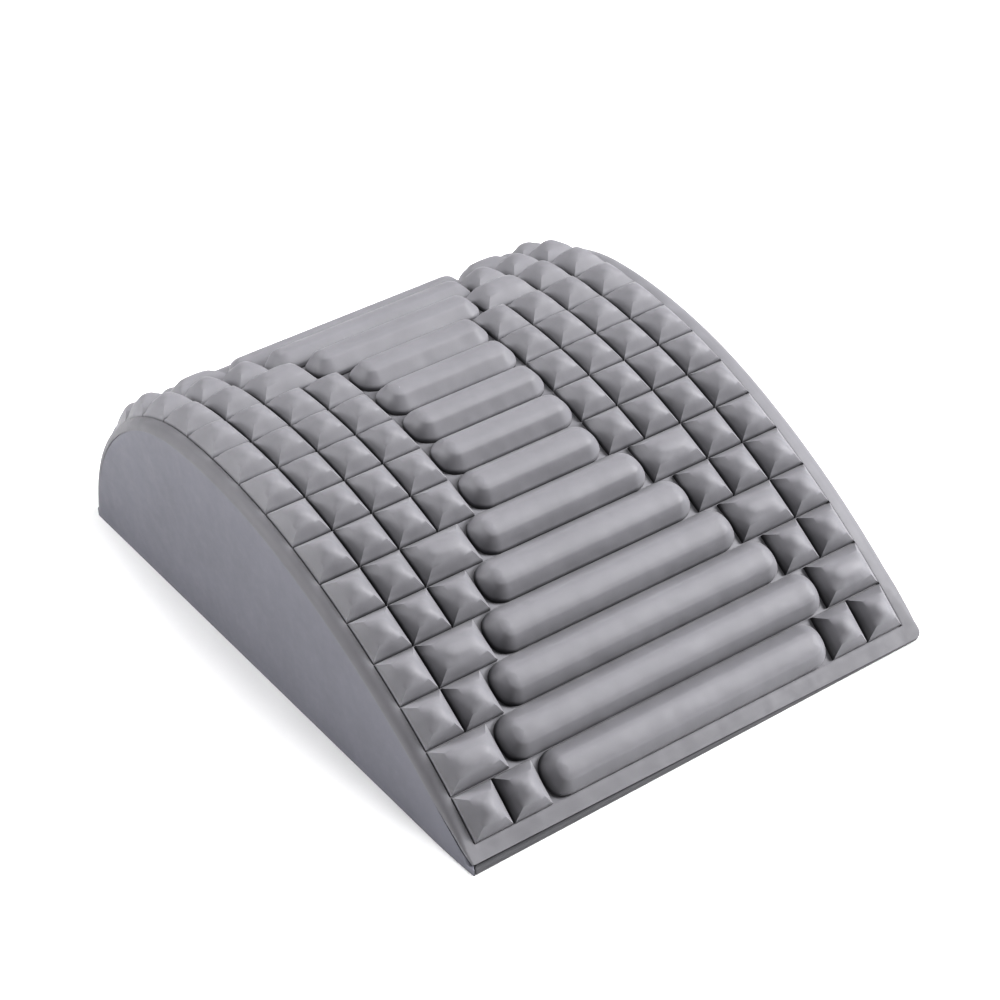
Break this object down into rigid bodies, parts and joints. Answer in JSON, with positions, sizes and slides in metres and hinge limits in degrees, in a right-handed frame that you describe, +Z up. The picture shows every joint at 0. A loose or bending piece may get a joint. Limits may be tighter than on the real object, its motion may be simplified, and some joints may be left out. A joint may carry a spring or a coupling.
{
  "type": "back stretcher pillow",
  "caption": "Wedge-shaped foam pillow with an arched massage mat of ribs and blunt pyramids, for stretching the lower back.",
  "frame": {"origin": "on the floor, under the middle of the pillow's overall box", "axes": "+X to the right as seen from the low front, +Y from the low front to the tall back, +Z up"},
  "size_m": [0.2626, 0.3358, 0.1061],
  "materials": {
    "mat_foam": "satin smooth-skinned rubber foam",
    "core_foam": "open foam",
    "skin_foam": "satin smooth-skinned rubber foam",
    "base_rubber": "matte grippy rubber foam"
  },
  "bodies": {
    "root": {"massage_mat": "mat_foam", "foam_core": "core_foam", "left_side_skin": "skin_foam", "right_side_skin": "skin_foam", "base_sheet": "base_rubber"}
  },
  "joints": []
}
